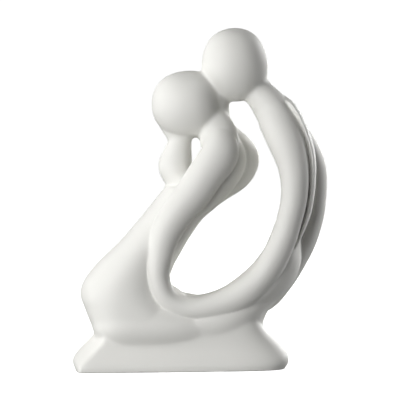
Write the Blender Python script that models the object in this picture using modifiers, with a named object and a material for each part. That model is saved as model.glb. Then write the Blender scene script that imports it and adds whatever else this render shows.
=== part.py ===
"""Courting couple figurine: two kneeling lovers with joined arms on a flared plinth, cast in one piece.

The couple is shaped as a modeller would press it together: tubes and eggs of clay joined,
smoothed over and cut flat underneath. X runs across the couple, -Y is the viewed side and
Z is up, with the origin under the middle of the plinth.
"""

import math

import bmesh
import bpy
from mathutils import Vector

# Driving sizes, in metres
FIGURE_HEIGHT = 0.250  # underside to the crown of his head
FIGURE_DEPTH = 0.074  # over both arms of each lover
PLINTH_LENGTH = 0.160
PLINTH_DEPTH = 0.083
PLINTH_HEIGHT = 0.031  # underside to the level where the flare has died away
PLINTH_CORNER = 0.009  # how far its ends round off towards the corners, seen from above
ARM_WIDTH = 0.0204  # of his near arm at the elbow
HIS_HEAD_WIDTH = 0.0493
HIS_HEAD_DEPTH = 0.046
HIS_HEAD_HEIGHT = 0.0545
HER_HEAD_WIDTH = 0.0574
HER_HEAD_DEPTH = 0.050
HER_HEAD_HEIGHT = 0.0497

# Modelling grain
CLAY_GRAIN = 0.0014  # voxel the clay is pressed together with
CORE_ROUNDS = 11  # smoothing of the bodies before the arms are laid on
ARM_ROUNDS = 5  # smoothing after
KEPT_SHARE = 0.052  # share of the fine facets kept
TUBE_SIDES = 28
STATION_STEPS = 4  # rings from one station to the next
CUT_MARGIN = 0.008  # how far the plinth runs on below before it is cut flat

# Boxiness of the level sections: 2 is an ellipse and more is squarer
SKIRT_SQUARE = 2.1
HEM_SQUARE = 2.9
HEM_LEFT_SQUARE = 4.4
LAP_SQUARE = 2.7

# Finish
WHITE = (0.83, 0.825, 0.80, 1.0)
ROUGHNESS = 0.6

# One step of the stations below: they read in millimetres on a couple 250 mm tall, 74 mm deep,
# on a plinth 31 mm high, and follow the driving sizes as shares of them
UNIT = (FIGURE_HEIGHT - PLINTH_HEIGHT) / 219
DEPTH_UNIT = FIGURE_DEPTH / 74
ARM_UNIT = ARM_WIDTH / 20.4

# Stations of a limb: across, depth, up, radius in the picture plane, radius in depth
NEAR_ARM = (
    (56, -1, 207, 12, 11),
    (61, -3, 201, 11, 11),
    (67, -6, 194, 12.6, 12),
    (73.6, -12, 183, 14.4, 13),
    (79, -17, 171.5, 15, 13),
    (83, -21, 160.5, 14.1, 12.5),
    (85.9, -24, 149, 12.6, 11.5),
    (87, -26, 137.3, 11.6, 11),
    (86.2, -26, 124.8, 10.9, 10.5),
    (83.2, -26, 113, 10.2, 10.5),
    (77.4, -26, 96, 9.9, 10.5),
    (70.4, -26, 82, 10, 10.5),
    (62, -26, 68.8, 10, 10.5),
    (49.6, -26.5, 57.2, 10.7, 10.5),
    (34.5, -27, 48.7, 10.6, 10.5),
    (16.8, -28, 44.7, 9.3, 10),
    (1, -28, 46.4, 8.4, 9.5),
    (-10, -28, 54.4, 8.1, 9.5),
    (-14.9, -28, 69.5, 8.6, 9.5),
    (-12.9, -28, 87, 9.8, 9.5),
    (-8, -28, 103, 11.3, 10.5),
    (0.4, -27, 116.2, 12, 11),
    (11.6, -26, 130, 13, 11.5),
    (21.7, -25, 144.7, 13.5, 12),
    (30.6, -22, 157, 14.1, 12.5),
    (31.8, -17, 167, 13.7, 13),
    (27.5, -11, 176.5, 15, 13),
    (20, -6, 184, 16, 13),
)

FAR_ARM = (
    (68, 5, 198.5, 8.5, 9),
    (77, 11, 184, 10.5, 12),
    (87, 17, 168, 12.2, 14),
    (94, 20, 156, 12.4, 15),
    (98.7, 21, 144, 11.9, 16),
    (100, 21, 132.8, 11, 16),
    (99.2, 21, 120.2, 10.8, 16),
    (97.2, 21, 108.4, 10.9, 16),
    (91.8, 20, 92.2, 11.2, 17),
    (83.7, 20, 77.5, 11.6, 17),
    (74, 21, 63.5, 12.2, 16),
    (61, 23, 51, 13.4, 14),
    (45, 25, 44.2, 11, 12),
    (24.2, 27, 41.8, 9, 10),
    (8, 28, 44.4, 7.5, 9.5),
    (-8.2, 28, 51, 6.5, 9),
    (-13.8, 28, 63.7, 7.4, 9),
    (-11.5, 28, 75.5, 8.2, 9),
    (-5.6, 27, 87.4, 8.7, 9.5),
    (2.6, 27, 101.5, 9, 10.5),
    (14, 26, 116, 8.8, 11),
    (28.2, 25, 130, 11.2, 11.5),
    (42.3, 24, 141.7, 13, 12),
    (48.3, 22, 152.2, 12.5, 12),
    (44.4, 18, 160.4, 11.8, 12),
    (36.2, 11, 169, 10.9, 12),
    (27, 4, 180, 11, 11),
)

HIS_BODY = (
    (57, 0, 213, 9, 9),
    (62, 0, 204, 9, 11),
    (68.6, 0, 193.5, 12.5, 15),
    (75.6, 0, 182.3, 16.5, 18),
    (81.7, 0, 168.1, 15.8, 20),
    (86.2, 0, 151.8, 14, 21),
    (88.3, 0, 136.9, 12.7, 21),
    (88, 0, 122, 12.1, 21),
    (84.9, 0, 110, 11.7, 21),
    (82, 1, 101, 11.6, 23),
    (79, 2, 90.5, 13, 27),
    (74.8, 2, 76.8, 15.6, 31),
    (66.3, 2, 64.2, 16.4, 33),
    (52.6, 0, 54.2, 15, 33),
    (36, 0, 46.5, 12.5, 31),
    (18.3, 0, 42.5, 11, 30),
    (0.5, 0, 42.5, 10.5, 29),
)

HER_BODY = (
    (14, 0, 190, 14, 15),
    (24, 0, 179, 12.6, 16),
    (32.5, 0, 167, 12, 19),
    (38.5, 0, 153.9, 12.3, 20),
    (33.5, 0, 142, 12.5, 21),
    (23, 0, 130, 12.6, 22),
    (9.5, 0, 116.5, 11.2, 23),
    (-1, 0, 101.8, 10.8, 24),
    (-9.3, 0, 87, 10, 25),
    (-15.4, 0, 71.6, 8, 26),
    (-14.1, 0, 58.3, 7, 26),
    (-3.8, 0, 46.5, 8, 26),
    (15.3, 0, 42, 9, 26),
)

HER_BACK = (
    (37, 6, 166, 11.5, 20),
    (44.5, 7, 153, 12.8, 20),
    (38.5, 7, 142.5, 13, 20),
    (26.6, 8, 130.5, 11.2, 20),
    (12.5, 8, 116.5, 9, 20),
    (1, 8, 102, 9, 20),
)

HER_HANDS = (
    (-0.5, 0, 184, 14, 10),
    (0.5, 0, 177, 12.4, 9.5),
    (1.4, 0, 171.5, 9.8, 9.5),
    (2, 0, 166.4, 8.9, 10),
    (0.3, 0, 158, 10.9, 12),
    (-1.4, 0, 149.1, 13, 14),
    (0.8, 0, 141.7, 11.8, 15),
    (8, 0, 133.5, 12, 18),
    (16.3, 0, 126, 12, 20),
)

# Level sections of a mass: up, middle across, half length, half depth
SKIRT = (
    (134, 3.5, 12.5, 20),
    (119, -3.8, 17.4, 26),
    (105, -13, 20.1, 29),
    (92, -23, 22.1, 32),
    (79, -32, 27, 34.5),
    (66, -38.2, 31.5, 37),
    (55, -38, 35, 38.5),
    (44, -31, 38.5, 39),
    (35, -24, 42, 39.2),
    (27, -22, 40, 38),
    (20, -20, 34, 34),
)

HEM = (
    (48, -32, 35.5, 36.5),
    (41, -26, 41.6, 38.6),
    (35, -22, 44.1, 39.6),
    (30, -22, 42.7, 40),
    (25.5, -22, 40.1, 39.8),
    (21.5, -22, 36, 38.8),
    (18, -22, 31.5, 36.6),
    (14.5, -22, 26, 32),
)

LAP = (
    (47, 16, 46.5, 28),
    (40, 6, 57.5, 33.5),
    (33, 1.5, 60.3, 35),
    (26, 0.5, 61.3, 35),
    (15, 0.5, 61, 33.5),
)

# Plinth sections: share of its height, of its length, of its depth, how far the middle sits to
# the right as a share of half its length, and how far the left end bows as a share of the corner
PLINTH_PROFILE = (
    (0.0, 0.965, 0.99, 0.0, 0.39),
    (0.07, 0.986, 1.0, 0.004, 0.56),
    (0.16, 1.0, 0.99, 0.005, 0.83),
    (0.3, 0.986, 0.957, 0.009, 1.11),
    (0.48, 0.93, 0.918, 0.01, 1.28),
    (0.65, 0.866, 0.885, 0.0145, 1.22),
    (0.81, 0.806, 0.86, 0.013, 1.0),
    (0.97, 0.765, 0.84, 0.008, 0.78),
    (1.16, 0.735, 0.81, 0.0, 0.67),
)


def clear_scene():
    for obj in list(bpy.data.objects):
        bpy.data.objects.remove(obj, do_unlink=True)
    for block in list(bpy.data.meshes):
        bpy.data.meshes.remove(block)


def level(up):
    """Height of a station above the underside."""
    return PLINTH_HEIGHT + (up - 31) * UNIT


def along(stations, steps):
    """Rows on a smooth curve through the stations."""
    rows = []
    last = len(stations) - 1
    for i in range(last):
        before = stations[max(i - 1, 0)]
        start = stations[i]
        end = stations[i + 1]
        after = stations[min(i + 2, last)]
        for step in range(steps):
            t = step / steps
            row = []
            for a, b, c, d in zip(before, start, end, after):
                leave = (c - a) / 2
                reach = (d - b) / 2
                value = b * (2 * t**3 - 3 * t**2 + 1) + c * (3 * t**2 - 2 * t**3)
                value += leave * (t**3 - 2 * t**2 + t) + reach * (t**3 - t**2)
                row.append(value)
            rows.append(row)
    rows.append(list(stations[last]))
    return rows


def add_object(name, bm, collection):
    mesh = bpy.data.meshes.new(name)
    bm.to_mesh(mesh)
    bm.free()
    obj = bpy.data.objects.new(name, mesh)
    collection.objects.link(obj)
    return obj


def skin(name, rings, collection):
    """Closed body through rings of equal count, its ends fanned shut."""
    bm = bmesh.new()
    loops = []
    for ring in rings:
        loops.append([bm.verts.new(point) for point in ring])
    count = len(loops[0])
    for lower, upper in zip(loops, loops[1:]):
        for i in range(count):
            j = (i + 1) % count
            bm.faces.new((lower[i], lower[j], upper[j], upper[i]))
    for loop in (loops[0], loops[-1]):
        middle = Vector((0, 0, 0))
        for vert in loop:
            middle += vert.co
        tip = bm.verts.new(middle / count)
        for i in range(count):
            bm.faces.new((loop[i], loop[(i + 1) % count], tip))
    bmesh.ops.recalc_face_normals(bm, faces=bm.faces)
    return add_object(name, bm, collection)


def limb(name, stations, radius_unit, collection):
    """Tube through stations, elliptical across, with rounded ends."""
    rows = along(stations, STATION_STEPS)
    centres = []
    for x, y, z, wide, deep in rows:
        centres.append(Vector((x * UNIT, y * DEPTH_UNIT, level(z))))
    rings = []
    last = len(rows) - 1
    for i, row in enumerate(rows):
        tangent = centres[min(i + 1, last)] - centres[max(i - 1, 0)]
        tangent.y = 0
        tangent.normalize()
        side = Vector((tangent.z, 0, -tangent.x))
        wide = row[3] * radius_unit
        deep = row[4] * DEPTH_UNIT
        swells = [(0.0, 1.0)]
        if i == 0:
            swells = [(-0.87, 0.5), (-0.5, 0.87), (0.0, 1.0)]
        if i == last:
            swells = [(0.0, 1.0), (0.5, 0.87), (0.87, 0.5)]
        for push, share in swells:
            ring = []
            for k in range(TUBE_SIDES):
                angle = math.tau * k / TUBE_SIDES
                point = centres[i] + tangent * (push * wide)
                point += side * (wide * share * math.cos(angle))
                point += Vector((0, deep * share * math.sin(angle), 0))
                ring.append(point)
            rings.append(ring)
    return skin(name, rings, collection)


def mass(name, sections, square, left_square, collection):
    """Body through level sections, square 2 being an ellipse and more being boxier."""
    rings = []
    for up, middle, half_length, half_depth in along(sections, STATION_STEPS):
        ring = []
        for k in range(2 * TUBE_SIDES):
            angle = math.tau * k / (2 * TUBE_SIDES)
            c = math.cos(angle)
            s = math.sin(angle)
            power = 2 / (square if c > 0 else left_square)
            x = math.copysign(abs(c) ** power, c) * half_length
            y = math.copysign(abs(s) ** power, s) * half_depth
            ring.append(Vector(((middle + x) * UNIT, y * DEPTH_UNIT, level(up))))
        rings.append(ring)
    return skin(name, rings, collection)


def plinth(name, collection):
    """Flared block whose ends bow out between the corners, run on below its underside."""
    sections = along(PLINTH_PROFILE, STATION_STEPS)
    foot = sections[0]
    sections.insert(0, [-CUT_MARGIN / PLINTH_HEIGHT] + foot[1:])
    rings = []
    for up, long_share, deep_share, right_share, bow_share in sections:
        middle = PLINTH_LENGTH / 2 * right_share
        reach_x = PLINTH_LENGTH / 2 * long_share
        reach_y = PLINTH_DEPTH / 2 * deep_share
        ring = []
        for step in range(17):
            t = step / 8 - 1
            x = middle + reach_x - PLINTH_CORNER * 1.55 * t**6
            ring.append(Vector((x, t * reach_y, up * PLINTH_HEIGHT)))
        for step in range(17):
            t = 1 - step / 8
            x = middle - reach_x + PLINTH_CORNER * bow_share * t * t
            ring.append(Vector((x, t * reach_y, up * PLINTH_HEIGHT)))
        rings.append(ring)
    return skin(name, rings, collection)


def egg(name, middle, width, depth, height, fullness, flat, collection):
    """Faceless head, fuller than an ellipsoid, with its upper right a little flat."""
    bm = bmesh.new()
    bmesh.ops.create_icosphere(bm, subdivisions=4, radius=1.0)
    for vert in bm.verts:
        x, y, z = vert.co
        norm = (abs(x) ** fullness + abs(y) ** fullness + abs(z) ** fullness) ** (1 / fullness)
        across = x / 2 - flat * max(x, 0) * math.exp(-(((z - 0.45) / 0.35) ** 2))
        vert.co = Vector((across * width, y * depth / 2, z * height / 2)) / norm + Vector(middle)
    return add_object(name, bm, collection)


def apply_all(obj):
    """Freeze the modifiers into the mesh."""
    graph = bpy.context.evaluated_depsgraph_get()
    fresh = bpy.data.meshes.new_from_object(obj.evaluated_get(graph))
    old = obj.data
    obj.modifiers.clear()
    obj.data = fresh
    bpy.data.meshes.remove(old)


def press(name, pieces, rounds, collection):
    """One skin over several pieces, smoothed over."""
    bm = bmesh.new()
    for piece in pieces:
        bm.from_mesh(piece.data)
    obj = add_object(name, bm, collection)
    for piece in pieces:
        bpy.data.objects.remove(piece, do_unlink=True)
    remesh = obj.modifiers.new("press", "REMESH")
    remesh.mode = "VOXEL"
    remesh.voxel_size = CLAY_GRAIN
    smooth = obj.modifiers.new("smooth", "SMOOTH")
    smooth.factor = 0.5
    smooth.iterations = rounds
    apply_all(obj)
    return obj


def block(name, low, high, collection):
    """Plain box from corner to corner."""
    bm = bmesh.new()
    bmesh.ops.create_cube(bm, size=1.0)
    for vert in bm.verts:
        for axis in range(3):
            vert.co[axis] = high[axis] if vert.co[axis] > 0 else low[axis]
    return add_object(name, bm, collection)


def main():
    clear_scene()
    figurine = bpy.data.collections.new("courting_couple")
    cutters = bpy.data.collections.new("cutters")
    for collection in (figurine, cutters):
        bpy.context.scene.collection.children.link(collection)

    his_middle = (43.3 * UNIT, 0, FIGURE_HEIGHT - HIS_HEAD_HEIGHT / 2)
    her_middle = (10.2 * UNIT, 0, level(194.1))
    bodies = [
        egg("his_head", his_middle, HIS_HEAD_WIDTH, HIS_HEAD_DEPTH, HIS_HEAD_HEIGHT, 2.1, 0.014, figurine),
        egg("her_head", her_middle, HER_HEAD_WIDTH, HER_HEAD_DEPTH, HER_HEAD_HEIGHT, 2.2, 0.01, figurine),
        limb("his_body", HIS_BODY, UNIT, figurine),
        limb("her_body", HER_BODY, UNIT, figurine),
        limb("her_back", HER_BACK, UNIT, figurine),
        limb("her_hands", HER_HANDS, UNIT, figurine),
        mass("skirt", SKIRT, SKIRT_SQUARE, SKIRT_SQUARE, figurine),
        mass("hem", HEM, HEM_SQUARE, HEM_LEFT_SQUARE, figurine),
        mass("lap", LAP, LAP_SQUARE, LAP_SQUARE, figurine),
        plinth("plinth_clay", figurine),
    ]
    core = press("core", bodies, CORE_ROUNDS, figurine)
    near_arm = limb("near_arm", NEAR_ARM, ARM_UNIT, figurine)
    far_arm = limb("far_arm", FAR_ARM, ARM_UNIT, figurine)
    couple = press("couple_figurine", [core, near_arm, far_arm], ARM_ROUNDS, figurine)

    thin = couple.modifiers.new("facets", "DECIMATE")
    thin.ratio = KEPT_SHARE
    thin.use_collapse_triangulate = True
    apply_all(couple)

    reach = PLINTH_LENGTH
    knife = block("underside_cut", (-reach, -reach, -reach), (reach, reach, 0), cutters)
    knife.hide_render = True
    knife.display_type = "WIRE"
    cut = couple.modifiers.new("underside", "BOOLEAN")
    cut.operation = "DIFFERENCE"
    cut.solver = "EXACT"
    cut.object = knife
    apply_all(couple)

    material = bpy.data.materials.new("white_body")
    material.use_nodes = True
    shader = material.node_tree.nodes["Principled BSDF"]
    shader.inputs["Base Color"].default_value = WHITE
    shader.inputs["Roughness"].default_value = ROUGHNESS
    couple.data.materials.clear()
    couple.data.materials.append(material)


main()
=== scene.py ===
import math

import bmesh
import bpy
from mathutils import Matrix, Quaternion, Vector


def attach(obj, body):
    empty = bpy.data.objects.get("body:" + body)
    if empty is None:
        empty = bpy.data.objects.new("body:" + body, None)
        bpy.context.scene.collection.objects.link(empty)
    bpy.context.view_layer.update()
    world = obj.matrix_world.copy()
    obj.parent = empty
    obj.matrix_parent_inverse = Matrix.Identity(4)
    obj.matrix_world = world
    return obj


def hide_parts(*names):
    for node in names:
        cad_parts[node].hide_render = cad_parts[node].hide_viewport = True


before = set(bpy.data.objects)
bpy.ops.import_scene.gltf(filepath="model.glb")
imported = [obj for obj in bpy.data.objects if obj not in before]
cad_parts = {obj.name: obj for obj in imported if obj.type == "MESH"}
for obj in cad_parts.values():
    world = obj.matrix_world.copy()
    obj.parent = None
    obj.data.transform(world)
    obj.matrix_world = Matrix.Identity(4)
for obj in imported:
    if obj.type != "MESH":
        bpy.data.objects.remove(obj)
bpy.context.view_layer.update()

# --- Plinth and laps ---
# The couple kneels on a flared block with soft corners, flat underneath. It is the same white
# casting as everything above it, and the laps of both lovers run into its top.

FIGURE_HEIGHT = 0.250  # underside to the crown of his head
FIGURE_DEPTH = 0.074  # over both arms of each lover
PLINTH_LENGTH = 0.160
PLINTH_DEPTH = 0.083
PLINTH_HEIGHT = 0.031
PLINTH_FRONT_BOW = 0.0012  # how far its front and back bulge out
PLINTH_CORNER = 0.33  # power that rounds its two right corners, smaller being squarer
RIGHT_STEPS = 24  # points round the right end of a level, and along the left end
LEFT_STEPS = 16
UNIT = (FIGURE_HEIGHT - PLINTH_HEIGHT) / 219  # one step of the stations across and up
DEPTH_UNIT = FIGURE_DEPTH / 74  # one step of the stations in depth
RING_SIDES = 72
LAP_SQUARE = 2.7
HIS_LAP_SQUARE = 2.6

# share of its height, of its length, of its depth, how far the middle sits to the right as a
# share, and in metres how far its left end bows out between the corners
PLINTH_PROFILE = (
    (-0.26, 0.965, 0.988, 0.0, 0.0035),
    (0.0, 0.965, 0.988, 0.0, 0.0035),
    (0.07, 0.986, 0.998, 0.004, 0.005),
    (0.16, 1.0, 0.984, 0.005, 0.0075),
    (0.3, 0.986, 0.94, 0.009, 0.01),
    (0.48, 0.93, 0.884, 0.01, 0.0115),
    (0.65, 0.866, 0.853, 0.0145, 0.011),
    (0.81, 0.806, 0.84, 0.013, 0.009),
    (0.97, 0.765, 0.83, 0.008, 0.007),
    (1.16, 0.735, 0.81, 0.0, 0.006),
)
# up, middle across, half length, half depth, squareness of the left side
LAP = (
    (47, 6, 30, 27, 2.7),
    (40, 4, 34, 32.5, 2.7),
    (33, 3, 36, 35.2, 2.7),
    (26, 3, 37, 35.4, 2.7),
    (20, 3, 37, 35, 2.7),
    (14, 3, 36, 35, 2.7),
)
HIS_LAP = (
    (52, 44, 31, 21, 2.6),
    (46, 37, 33, 32, 2.6),
    (41, 30, 35.6, 36, 2.6),
    (35, 24, 38.8, 37.4, 2.6),
    (30, 20, 41, 37, 2.6),
    (26, 17, 41, 35.8, 2.6),
    (22, 14, 39, 34.2, 2.6),
    (18, 12, 36, 33, 2.6),
)


def level(up):
    """Height of a station above the underside."""
    return PLINTH_HEIGHT + (up - 31) * UNIT


def along(stations, steps):
    """Rows on a smooth curve through the stations."""
    rows = []
    last = len(stations) - 1
    for i in range(last):
        before = stations[max(i - 1, 0)]
        start = stations[i]
        end = stations[i + 1]
        after = stations[min(i + 2, last)]
        for step in range(steps):
            t = step / steps
            row = []
            for a, b, c, d in zip(before, start, end, after):
                value = b * (2 * t**3 - 3 * t**2 + 1) + c * (3 * t**2 - 2 * t**3)
                value += (c - a) / 2 * (t**3 - 2 * t**2 + t) + (d - b) / 2 * (t**3 - t**2)
                row.append(value)
            rows.append(row)
    rows.append(list(stations[last]))
    return rows


def clay(name, bm):
    """A lump of clay from a finished bmesh."""
    mesh = bpy.data.meshes.new(name)
    bm.to_mesh(mesh)
    bm.free()
    lump = bpy.data.objects.new(name, mesh)
    bpy.context.scene.collection.objects.link(lump)
    return lump


def stacked(name, rings):
    """Lump through level rings of equal count, closed at both ends."""
    bm = bmesh.new()
    loops = [[bm.verts.new(point) for point in ring] for ring in rings]
    for lower, upper in zip(loops, loops[1:]):
        for i in range(len(lower)):
            j = (i + 1) % len(lower)
            bm.faces.new((lower[i], lower[j], upper[j], upper[i]))
    bm.faces.new(loops[0])
    bm.faces.new(loops[-1])
    bmesh.ops.recalc_face_normals(bm, faces=bm.faces)
    return clay(name, bm)


def mass(name, sections, square, right_stretch=1.0):
    """Lump through level sections, square being 2 for an ellipse and more for a boxier one."""
    rings = []
    for up, middle, half_length, half_depth, left_square in along(sections, 5):
        ring = []
        for k in range(RING_SIDES):
            c = math.cos(math.tau * k / RING_SIDES)
            s = math.sin(math.tau * k / RING_SIDES)
            power = 2 / (square if c > 0 else left_square)
            reach = half_length * (right_stretch if c > 0 else 1)
            x = middle + math.copysign(abs(c) ** power, c) * reach
            y = math.copysign(abs(s) ** power, s) * half_depth
            ring.append((x * UNIT, y * DEPTH_UNIT, level(up)))
        rings.append(ring)
    return stacked(name, rings)


plinth_rings = []
for up, long_share, deep_share, right_share, bow in along(PLINTH_PROFILE, 5):
    middle = PLINTH_LENGTH / 2 * right_share
    reach_x = PLINTH_LENGTH / 2 * long_share
    reach_y = PLINTH_DEPTH / 2 * deep_share
    ring = []
    for step in range(RIGHT_STEPS + 1):
        angle = math.tau / 2 * (step / RIGHT_STEPS - 0.5)
        c = math.cos(angle) ** PLINTH_CORNER
        s = math.copysign(abs(math.sin(angle)) ** PLINTH_CORNER, math.sin(angle))
        ring.append((middle + reach_x * c, s * reach_y, up * PLINTH_HEIGHT))
    for step in range(LEFT_STEPS + 1):
        t = 1 - 2 * step / LEFT_STEPS
        ring.append((middle - reach_x + bow * t * t, t * reach_y, up * PLINTH_HEIGHT))
    for i, (x, y, z) in enumerate(ring):
        ring[i] = (x, y * (1 + PLINTH_FRONT_BOW / reach_y * (1 - (x / reach_x) ** 2)), z)
    plinth_rings.append(ring)
plinth_clay = stacked("plinth_clay", plinth_rings)
lap = mass("lap", LAP, LAP_SQUARE)
his_lap = mass("his_lap", HIS_LAP, HIS_LAP_SQUARE)

# --- Skirt ---
# Her skirt is one smooth bell of the same plaster, from her knees up to her waist, the broadest
# mass of the piece. Its hem swells over the front of the plinth and is turned under.

SKIRT_SQUARE = 2.1
HEM_SQUARE = 2.5
HEM_RIGHT_STRETCH = 1.7  # the hem runs out further to the right, where it dies away in the lap
# up, middle across, half length, half depth, squareness of the left side
SKIRT = (
    (134, 3.5, 12.5, 20, 2.1),
    (119, -3.8, 17.4, 26, 2.1),
    (105, -13, 20.1, 29, 2.1),
    (92, -23, 22.1, 32, 2.1),
    (79, -32, 27, 34.5, 2.1),
    (66, -38.2, 31.5, 37, 2.2),
    (55, -38, 35, 38.5, 2.4),
    (44, -31, 38.5, 39.2, 2.9),
    (35, -24, 42, 39.4, 3.4),
    (27, -22, 40, 38, 3.6),
    (20, -20, 34, 34, 3.6),
)
HEM = (
    (60, -39.7, 21.3, 24, 2.4),
    (50, -36.4, 27.6, 33, 2.8),
    (42, -30.9, 34.6, 38, 3.2),
    (35, -24, 41, 40, 3.6),
    (30, -22.5, 41.8, 40.4, 3.8),
    (25.5, -22, 40.1, 39.6, 3.8),
    (21.5, -22, 36.5, 37.8, 3.8),
    (18, -22, 32, 35.4, 3.8),
    (14.5, -22, 26, 31, 3.8),
)
skirt = mass("skirt", SKIRT, SKIRT_SQUARE)
hem = mass("hem", HEM, HEM_SQUARE, HEM_RIGHT_STRETCH)

# --- Bodies and arms ---
# Both torsos, the necks and the arms are rolled limbs that swell at the shoulders, cast in one
# with the rest. His arms and hers meet over the laps and close the big loop, one pair on the
# near side and one on the far side.

# across, depth, up, radius in the picture plane, radius in depth
HIS_BODY = (
    (57, 0, 213, 9, 9),
    (62, 0, 204, 9, 11),
    (68.6, 0, 193.5, 12.5, 15),
    (75.4, 0, 182.3, 16, 18),
    (80.6, 1, 168.1, 14.2, 18),
    (84.6, 2, 151.8, 12, 20),
    (86.4, 3, 136.9, 10.6, 21),
    (86, 3, 122, 10, 21),
    (83.4, 3, 110, 10, 21),
    (80.8, 3, 101, 10.4, 22),
    (78.4, 3, 90.5, 12.4, 24),
    (74.8, 2, 76.8, 15.6, 29),
    (66.3, 2, 64.2, 16.4, 33),
    (52.6, 0, 54.2, 15, 33),
    (36, 0, 46.5, 12.5, 31),
    (18.3, 0, 42.5, 11, 30),
    (0.5, 0, 42.5, 10.5, 29),
)
HER_BODY = (
    (14, 0, 190, 14, 15),
    (24, 0, 179, 12.6, 16),
    (32.5, 0, 167, 12, 19),
    (38.5, 0, 153.9, 12.3, 20),
    (33.5, 0, 142, 12.5, 21),
    (23, 0, 130, 12.6, 22),
    (9.5, 0, 116.5, 11.2, 23),
    (-1, 0, 101.8, 10.8, 24),
    (-9.3, 0, 87, 10, 25),
    (-15.4, 0, 71.6, 8, 26),
    (-14.1, 0, 58.3, 7, 26),
    (-3.8, 0, 46.5, 8, 26),
    (15.3, 0, 42, 9, 26),
)
HER_HANDS = (
    (-0.5, 0, 184, 14, 10),
    (0.5, 0, 177, 12.4, 9.5),
    (1.4, 0, 171.5, 9.8, 9.5),
    (2, 0, 166.4, 8.9, 10),
    (0.3, 0, 158, 10.9, 12),
    (-1.4, 0, 149.1, 13, 14),
    (0.8, 0, 141.7, 11.8, 15),
    (8, 0, 133.5, 12, 18),
    (16.3, 0, 126, 12, 20),
)
HER_BACK = (
    (36, 6, 166, 10, 19),
    (40, 6, 153, 11.2, 18),
    (34.5, 6, 142.5, 12, 18),
    (25, 8, 130.5, 11, 19),
    (12.5, 8, 116.5, 9, 20),
    (1, 8, 102, 9, 20),
)
HIS_NECK = (
    (50, 0, 214, 11, 10),
    (56, -1, 207, 11.6, 11),
    (61, -3, 201, 11.2, 11),
    (67, -6, 194, 12.8, 12),
    (73, -11, 184, 13.6, 12),
    (77, -14, 174, 12, 11),
)
HER_NECK = (
    (30.4, -14, 160, 13.6, 10),
    (31, -12, 167, 14.4, 12),
    (28.4, -8, 176.5, 13.6, 12),
    (20, -4, 184, 12, 12),
    (13, 0, 190, 12, 12),
)
HER_NAPE = (
    (29, 2, 168, 13, 13),
    (27.8, 1, 176, 12.6, 13),
    (27, 1, 185, 12.4, 12),
    (26.4, 1, 194, 12.4, 13),
    (27, 0, 203, 10, 14),
)
NEAR_ARMS = (
    (64.5, -5, 198.5, 6, 6),
    (67.5, -8, 193, 10.4, 9.5),
    (73, -13.5, 183, 13.6, 11.5),
    (78, -18.5, 171.5, 13.9, 11.5),
    (81.7, -22.8, 160.5, 12.8, 10.7),
    (84.6, -25.5, 149, 11.3, 10),
    (85.7, -27, 137.3, 10.3, 9.7),
    (85, -27, 124.8, 9.8, 9.5),
    (82.4, -27.2, 113, 9.5, 9.2),
    (77.1, -27.3, 96, 9.6, 9.2),
    (70.4, -27.2, 82, 10, 9.3),
    (62, -26, 68.8, 10, 10.5),
    (49.6, -26.5, 57.2, 10.7, 10.5),
    (34.5, -27, 48.7, 10.6, 10.5),
    (16.8, -28, 44.7, 9.3, 10),
    (1, -28, 46.4, 8.4, 9.5),
    (-10, -28, 54.4, 8.1, 9.5),
    (-14.9, -28, 69.5, 8.6, 9.5),
    (-12.9, -28, 87, 9.8, 9.5),
    (-8, -28, 103, 11.3, 10.5),
    (0.4, -27, 116.2, 12, 11),
    (11.6, -26, 130, 13, 11.5),
    (21.7, -25, 144.7, 13.5, 12),
    (30.6, -21.5, 157, 14.1, 12.5),
    (31.2, -16, 166.5, 12.4, 11),
    (29.5, -9.5, 174, 9, 8),
    (27, -7, 179, 6, 6),
)
FAR_ARMS = (
    (68, 5, 198.5, 8.5, 9),
    (77, 11, 184, 10.5, 12),
    (87, 17, 168, 12.2, 14),
    (94, 20, 156, 12.4, 15),
    (98.7, 21, 144, 11.9, 16),
    (100, 21, 132.8, 11, 16),
    (99.2, 21, 120.2, 10.8, 16),
    (97.2, 21, 108.4, 10.9, 16),
    (91.8, 20, 92.2, 11.2, 17),
    (83.7, 20, 77.5, 11.6, 17),
    (74, 21, 63.5, 12.2, 16),
    (61, 23, 51, 13.4, 14),
    (45, 25, 44.2, 11, 12),
    (24.2, 27, 41.8, 9, 10),
    (8, 28, 44.4, 7.5, 9.5),
    (-8.2, 28, 51, 6.5, 9),
    (-13.8, 28, 63.7, 7.4, 9),
    (-11.5, 28, 75.5, 8.2, 9),
    (-5.6, 27, 87.4, 8.7, 9.5),
    (2.6, 27, 101.5, 9, 10.5),
    (14, 26, 116, 8.8, 11),
    (28.2, 24, 130, 11.2, 13),
    (42.3, 20, 141.7, 13, 16),
    (48.3, 17, 152.2, 12.5, 17),
    (44.4, 14, 160.4, 11.8, 16),
    (36.2, 10, 169, 10.9, 13),
    (27, 4, 180, 11, 11),
)
# The edge of his back stands up as a thin lip between the two arms, out of a broader bed
HIS_BACK_EDGE = (
    (71, -3, 198.5, 2.2, 6),
    (78.6, -5, 197, 2.4, 9),
    (84, -8, 193.6, 2.4, 11),
    (87.2, -9.5, 189.4, 2.4, 12),
    (89.9, -10, 185, 2.4, 12.5),
    (93.4, -10.5, 176.8, 2.4, 12.5),
    (96, -11, 169.4, 2.4, 12.5),
    (98, -12, 162, 2.4, 12.5),
    (99.2, -13, 154, 2.4, 12.5),
    (99.5, -13.5, 145.6, 2.4, 12.5),
    (99.1, -14, 137, 2.4, 12.5),
    (98.3, -14, 128.8, 2.4, 12.5),
    (97, -13.5, 121, 2.4, 12.5),
    (95.4, -12.5, 113.2, 2.4, 12.5),
    (92.6, -12.5, 105.4, 2.3, 12.5),
    (89.2, -12, 97, 2, 12),
    (85.6, -10, 88.6, 1.6, 9),
)
# The bed follows the lip, further left and back by this much, this wide and deeper by this much
BED_LEFT = 3.4
BED_BACK = 8
BED_WIDE = 4.4
BED_DEEPER = 5


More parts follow.
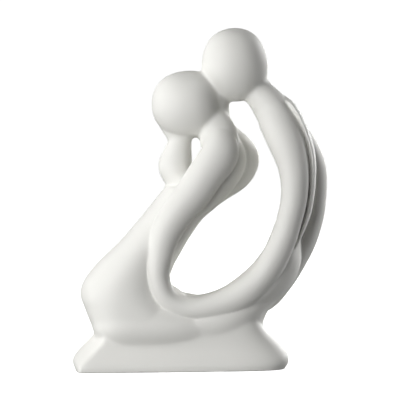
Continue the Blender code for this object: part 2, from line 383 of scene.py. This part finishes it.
class Socket:
    """A shader value that takes part in Python expressions through Math nodes."""

    def __init__(self, tree, socket):
        self.tree = tree
        self.socket = socket

    def math(self, operation, left, right):
        made = self.tree.nodes.new("ShaderNodeMath")
        made.operation = operation
        for slot, value in zip(made.inputs, (left, right)):
            if isinstance(value, Socket):
                self.tree.links.new(value.socket, slot)
            else:
                slot.default_value = value
        return Socket(self.tree, made.outputs[0])

    def __add__(self, other):
        return self.math("ADD", self, other)

    def __radd__(self, other):
        return self.math("ADD", other, self)

    def __sub__(self, other):
        return self.math("SUBTRACT", self, other)

    def __rsub__(self, other):
        return self.math("SUBTRACT", other, self)

    def __mul__(self, other):
        return self.math("MULTIPLY", self, other)

    def __rmul__(self, other):
        return self.math("MULTIPLY", other, self)


class Finish:
    """A material whose nodes all come from one method."""

    def __init__(self, name):
        self.material = bpy.data.materials.new(name)
        self.material.use_nodes = True
        self.tree = self.material.node_tree
        self.shader = self.tree.nodes["Principled BSDF"]

    def node(self, kind, settings=None, output=0, **values):
        made = self.tree.nodes.new(kind)
        for key, value in (settings or {}).items():
            setattr(made, key, value)
        for key, value in values.items():
            slot = next(s for s in made.inputs if s.identifier == key or s.name == key.replace("_", " "))
            if isinstance(value, Socket):
                self.tree.links.new(value.socket, slot)
            else:
                slot.default_value = value
        return Socket(self.tree, made.outputs[output])

    def feed(self, slot, value):
        self.tree.links.new(value.socket, self.shader.inputs[slot])


plaster = Finish("white_plaster")
where = plaster.node("ShaderNodeTexCoord", output=3)
clouds = plaster.node("ShaderNodeTexNoise", Vector=where, Scale=38.0, Detail=3.0, Roughness=0.5)
dust = plaster.node("ShaderNodeTexNoise", Vector=where, Scale=900.0, Detail=2.0, Roughness=0.6)
tone = plaster.node("ShaderNodeMix", {"data_type": "RGBA"}, 2, Factor_Float=clouds * 0.7 + dust * 0.3,
                    A_Color=(0.767, 0.763, 0.728, 1), B_Color=(0.803, 0.799, 0.765, 1))
plaster.feed("Base Color", tone)
plaster.feed("Roughness", 0.5 + clouds * 0.1 + dust * 0.06)
worked = plaster.node("ShaderNodeTexNoise", Vector=where, Scale=160.0, Detail=2.0, Roughness=0.45)
grain = plaster.node("ShaderNodeBump", Height=worked * 0.7 + dust * 0.3, Strength=0.12, Distance=0.00012)
plaster.feed("Normal", grain)


class Tree:
    """A Geometry Nodes tree with its inputs; each node comes from the one method."""

    def __init__(self, name, inputs):
        self.group = bpy.data.node_groups.new(name, "GeometryNodeTree")
        self.group.interface.new_socket("Geometry", in_out="INPUT", socket_type="NodeSocketGeometry")
        for label, kind, value in inputs:
            self.group.interface.new_socket(label, in_out="INPUT", socket_type=kind).default_value = value
        self.group.interface.new_socket("Geometry", in_out="OUTPUT", socket_type="NodeSocketGeometry")
        self.entry = self.group.nodes.new("NodeGroupInput").outputs

    def node(self, kind, settings=None, output=0, **values):
        """Adds a node; a value's key is its socket's name or identifier with _ for spaces."""
        made = self.group.nodes.new(kind)
        for key, value in (settings or {}).items():
            setattr(made, key, value)
        for key, value in values.items():
            names = [key, key.replace("_", " ")]
            socket = next(s for s in made.inputs if s.identifier in names or s.name in names)
            if isinstance(value, bpy.types.NodeSocket):
                self.group.links.new(value, socket)
            else:
                socket.default_value = value
        return made.outputs[output] if made.outputs else None

    def put_on(self, lump, **values):
        """Runs the tree on a lump and bakes what comes out."""
        modifier = lump.modifiers.new(self.group.name, "NODES")
        modifier.node_group = self.group
        for item in self.group.interface.items_tree:
            if item.in_out == "INPUT" and item.name in values:
                modifier[item.identifier] = values[item.name]
        bake(lump)


def bake(lump):
    """Freezes the lump's modifiers into its mesh."""
    graph = bpy.context.evaluated_depsgraph_get()
    fresh = bpy.data.meshes.new_from_object(lump.evaluated_get(graph))
    old = lump.data
    lump.modifiers.clear()
    lump.data = fresh
    bpy.data.meshes.remove(old)


LIMB_SIDES = 36
LIMB_STEPS = 6  # rings from one station to the next

# A smooth curve through the stations, swept by a ring that is then stretched in depth
rolled = Tree("rolled_limb", [("Sides", "NodeSocketInt", LIMB_SIDES),
                              ("Steps", "NodeSocketInt", LIMB_STEPS)])
number = {"data_type": "FLOAT"}
vector = {"data_type": "FLOAT_VECTOR"}
place = rolled.node("GeometryNodeInputPosition")
across = rolled.node("GeometryNodeInputNamedAttribute", number, "Attribute", Name="across")
in_depth = rolled.node("GeometryNodeInputNamedAttribute", number, "Attribute", Name="in_depth")
stretch = rolled.node("GeometryNodeInputNamedAttribute", number, "Attribute", Name="stretch")
middle = rolled.node("GeometryNodeInputNamedAttribute", vector, "Attribute", Name="middle")
ratio = rolled.node("ShaderNodeMath", {"operation": "DIVIDE"}, Value=in_depth, Value_001=across)
path = rolled.node("GeometryNodeMeshToCurve", Mesh=rolled.entry["Geometry"])
path = rolled.node("GeometryNodeCurveSplineType", {"spline_type": "CATMULL_ROM"}, Curve=path)
path = rolled.node("GeometryNodeSetSplineResolution", Geometry=path, Resolution=rolled.entry["Steps"])
path = rolled.node("GeometryNodeStoreNamedAttribute", number, Geometry=path, Name="stretch", Value=ratio)
path = rolled.node("GeometryNodeStoreNamedAttribute", vector, Geometry=path, Name="middle", Value=place)
hoop = rolled.node("GeometryNodeCurvePrimitiveCircle", Resolution=rolled.entry["Sides"], Radius=1.0)
tube = rolled.node("GeometryNodeCurveToMesh", Curve=path, Profile_Curve=hoop, Scale=across, Fill_Caps=True)
off = rolled.node("ShaderNodeVectorMath", {"operation": "SUBTRACT"}, Vector=place, Vector_001=middle)
off = rolled.node("ShaderNodeSeparateXYZ", output="Y", Vector=off)
more = rolled.node("ShaderNodeMath", {"operation": "SUBTRACT"}, Value=stretch, Value_001=1.0)
more = rolled.node("ShaderNodeMath", {"operation": "MULTIPLY"}, Value=off, Value_001=more)
more = rolled.node("ShaderNodeCombineXYZ", Y=more)
tube = rolled.node("GeometryNodeSetPosition", Geometry=tube, Offset=more)
tube = rolled.node("GeometryNodeRealizeInstances", Geometry=tube)
tube = rolled.node("GeometryNodeSetMaterial", Geometry=tube, Material=plaster.material)
rolled.node("NodeGroupOutput", Geometry=tube)


def limb(name, stations):
    """Rolls a limb through its stations."""
    bm = bmesh.new()
    wide_layer = bm.verts.layers.float.new("across")
    deep_layer = bm.verts.layers.float.new("in_depth")
    last = None
    for x, y, z, wide, deep in stations:
        vert = bm.verts.new((x * UNIT, y * DEPTH_UNIT, level(z)))
        vert[wide_layer] = wide * UNIT
        vert[deep_layer] = deep * DEPTH_UNIT
        if last:
            bm.edges.new((last, vert))
        last = vert
    lump = clay(name, bm)
    rolled.put_on(lump, Sides=LIMB_SIDES, Steps=LIMB_STEPS)
    return lump


his_body = limb("his_body", HIS_BODY)
her_body = limb("her_body", HER_BODY)
her_back = limb("her_back", HER_BACK)
her_hands = limb("her_hands", HER_HANDS)
his_neck = limb("his_neck", HIS_NECK)
her_neck = limb("her_neck", HER_NECK)
her_nape = limb("her_nape", HER_NAPE)
near_arms = limb("near_arms", NEAR_ARMS)
far_arms = limb("far_arms", FAR_ARMS)
his_back_edge = limb("his_back_edge", HIS_BACK_EDGE)
bed = [(x - BED_LEFT, y + BED_BACK, z, BED_WIDE, deep + BED_DEEPER) for x, y, z, _, deep in HIS_BACK_EDGE]
his_back_bed = limb("his_back_bed", bed)

# --- Heads ---
# Two smooth eggs of plaster without faces, his leaning on hers. They are set on the necks while
# the clay is soft, and the hollows between them are smoothed over.

# across, in depth, up
HIS_HEAD_SIZE = (0.0492, 0.046, 0.0545)
HER_HEAD_SIZE = (0.0576, 0.050, 0.0496)
HIS_HEAD_FLAT = 0.0008  # how far it is flattened and swells
HER_HEAD_FLAT = 0.0006
HER_RIGHT_SHARE = 0.8  # her head narrows to the right, behind his


def egg(name, middle, size, fullness, flat, right_share=1.0):
    """A head, fuller than an ellipsoid, flat on its upper right and swelling at its upper left."""
    width, depth, height = size
    bm = bmesh.new()
    bmesh.ops.create_icosphere(bm, subdivisions=5, radius=1.0)
    for vert in bm.verts:
        x, y, z = vert.co
        norm = (abs(x) ** fullness + abs(y) ** fullness + abs(z) ** fullness) ** (1 / fullness)
        shift = flat * min(x, 0) * math.exp(-(((z - 0.8) / 0.3) ** 2))
        shift -= flat * max(x, 0) * math.exp(-(((z - 0.45) / 0.35) ** 2))
        reach = width / 2 * (right_share if x > 0 else 1)
        vert.co = Vector((x * reach + shift, y * depth / 2, z * height / 2)) / norm + Vector(middle)
    return clay(name, bm)


his_middle = (43.3 * UNIT, 0, FIGURE_HEIGHT - HIS_HEAD_SIZE[2] / 2)
her_middle = (10.2 * UNIT, 0, level(194.1))
his_head = egg("his_head", his_middle, HIS_HEAD_SIZE, 2.1, HIS_HEAD_FLAT)
her_head = egg("her_head", her_middle, HER_HEAD_SIZE, 2.2, HER_HEAD_FLAT, HER_RIGHT_SHARE)

# --- The casting ---
# All of it is one solid cast of white plaster, taken from the smoothed clay: the bodies are
# smoothed over first, the arms laid on and worked in, and the underside cut flat.

CLAY_GRAIN = 0.0007  # voxel the clay is pressed together with
BODY_BLEND = 0.0046
ARM_BLEND = 0.0022
MOST_FACETS = 186000


def press(name, lumps, blend):
    """One skin over several lumps, smoothed until hollows narrower than blend are filled."""
    bm = bmesh.new()
    for lump in lumps:
        bm.from_mesh(lump.data)
        bpy.data.objects.remove(lump, do_unlink=True)
    pressed = clay(name, bm)
    remesh = pressed.modifiers.new("press", "REMESH")
    remesh.mode = "VOXEL"
    remesh.voxel_size = CLAY_GRAIN
    smooth = pressed.modifiers.new("smooth", "SMOOTH")
    smooth.factor = 0.5
    smooth.iterations = max(1, round((blend / CLAY_GRAIN) ** 2))
    bake(pressed)
    return pressed


core = press("core", [his_head, her_head, his_neck, her_neck, her_nape, his_body, her_body, her_back,
                      her_hands, skirt, hem, lap, his_lap, plinth_clay], BODY_BLEND)
couple = press("couple", [core, near_arms, far_arms, his_back_bed, his_back_edge], ARM_BLEND)

thin = couple.modifiers.new("facets", "DECIMATE")
couple.data.calc_loop_triangles()
thin.ratio = min(1.0, MOST_FACETS / len(couple.data.loop_triangles))
bake(couple)

bm = bmesh.new()
bm.from_mesh(couple.data)
cut = bmesh.ops.bisect_plane(bm, geom=bm.verts[:] + bm.edges[:] + bm.faces[:], plane_co=(0, 0, 0),
                             plane_no=(0, 0, -1), clear_outer=True)
rim = [edge for edge in cut["geom_cut"] if isinstance(edge, bmesh.types.BMEdge)]
bmesh.ops.contextual_create(bm, geom=rim)
for vert in bm.verts:
    if vert.co.z < 1e-6:
        vert.co.z = 0.0
bmesh.ops.recalc_face_normals(bm, faces=bm.faces)
bm.to_mesh(couple.data)
bm.free()
couple.data.shade_smooth()
couple.data.materials.clear()
couple.data.materials.append(plaster.material)
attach(couple, "root")
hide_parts("couple_figurine")

# --- Studio ---
# A plain pale floor of paper that runs up into a white backdrop all round, so that every side
# of the figurine is seen against white.

SWEEP_SIDES = 64
# distance from the middle, height
SWEEP = ((0.0, 0.0), (1.6, 0.0), (3.2, 0.0), (3.5, 0.04), (3.75, 0.16), (3.9, 0.36),
         (3.95, 0.62), (3.95, 2.6))
bm = bmesh.new()
rings = []
for out, up in along(SWEEP, 4)[1:]:
    turns = [math.tau * k / SWEEP_SIDES for k in range(SWEEP_SIDES)]
    rings.append([bm.verts.new((out * math.cos(turn), out * math.sin(turn), up)) for turn in turns])
bm.faces.new(rings[0])
for low, high in zip(rings, rings[1:]):
    for k in range(SWEEP_SIDES):
        bm.faces.new((low[k - 1], high[k - 1], high[k], low[k]))
bmesh.ops.recalc_face_normals(bm, faces=bm.faces)
bmesh.ops.reverse_faces(bm, faces=bm.faces)
floor = clay("studio_floor", bm)
floor.data.shade_smooth()
paper = Finish("pale_paper")
paper.shader.inputs["Base Color"].default_value = (0.9, 0.9, 0.9, 1)
paper.shader.inputs["Roughness"].default_value = 0.9
paper.shader.inputs["Emission Color"].default_value = (1, 1, 1, 1)
paper.shader.inputs["Emission Strength"].default_value = 1.0
floor.data.materials.append(paper.material)
floor.visible_diffuse = False
floor.visible_glossy = False
floor.visible_shadow = False

# --- Lights ---
# Broad soft lights stand on the left, in front and above. The others, behind on both sides and
# low on the right, light the rims as white walls do.

AIM = Vector((0.01, 0, 0.12))
LIGHT_DISTANCE = 1.4


def softbox(name, azimuth, elevation, size, power):
    """A square light turned to the figurine, azimuth 0 being in front and -90 on the left."""
    data = bpy.data.lights.new(name, "AREA")
    data.size = size
    data.energy = power
    lamp = bpy.data.objects.new(name, data)
    a = math.radians(azimuth)
    e = math.radians(elevation)
    out = Vector((math.sin(a) * math.cos(e), -math.cos(a) * math.cos(e), math.sin(e)))
    lamp.location = AIM + out * LIGHT_DISTANCE
    lamp.rotation_euler = out.to_track_quat("Z", "Y").to_euler()
    bpy.context.scene.collection.objects.link(lamp)


softbox("key", -43, 6, 0.6, 9.8)
softbox("front", -18, 8, 0.6, 5.4)
softbox("left", -92, 3, 0.6, 5.2)
softbox("left_high", -45, 35, 0.6, 2.8)
softbox("top", -60, 65, 0.6, 2.8)
softbox("left_back", -120, 30, 0.6, 2.8)
softbox("left_far_back", -150, 30, 0.6, 1.9)
softbox("right_high", 117, 14, 0.4, 4.8)
softbox("right_back", 134, 22, 0.35, 8.4)
softbox("right_far_back", 158, 4, 0.4, 5.0)
softbox("right_low", 105, -30, 0.6, 2.0)
softbox("front_low", 75, -30, 0.6, 1.0)
softbox("back_low", 135, -30, 0.6, 1.1)

world = bpy.data.worlds.new("studio")
world.use_nodes = True
world.node_tree.nodes["Background"].inputs["Color"].default_value = (1, 1, 1, 1)
world.node_tree.nodes["Background"].inputs["Strength"].default_value = 0.01
bpy.context.scene.world = world
bpy.context.scene.view_settings.view_transform = "Standard"

# --- Camera ---
# A long lens, three and a half degrees above the level of the figurine and turned a little, as in
# the photograph. The middle of the frame lies to the right of and above the plinth's middle.

SCALE = 0.00074  # metres to a pixel of the 400 pixel frame at the figurine
FRAME = 400
RIGHT_OF_MIDDLE = 20  # pixels
ABOVE_UNDERSIDE = 166.5
CAMERA_DISTANCE = 3.0
CAMERA_RISE = math.radians(3.5)
CAMERA_ROLL = math.radians(0.7)
SENSOR = 36

view_axis = Vector((0, math.cos(CAMERA_RISE), -math.sin(CAMERA_RISE)))
right_axis = Vector((1, 0, 0))
up_axis = right_axis.cross(view_axis)
spin = Quaternion(view_axis, CAMERA_ROLL)
centre = spin @ (right_axis * (RIGHT_OF_MIDDLE * SCALE) + up_axis * (ABOVE_UNDERSIDE * SCALE))
lens = bpy.data.cameras.new("camera")
lens.sensor_width = SENSOR
lens.lens = SENSOR * CAMERA_DISTANCE / (FRAME * SCALE)
camera = bpy.data.objects.new("camera", lens)
camera.location = centre - view_axis * CAMERA_DISTANCE
camera.rotation_euler = (spin @ view_axis.to_track_quat("-Z", "Y")).to_euler()
bpy.context.scene.collection.objects.link(camera)
bpy.context.scene.camera = camera
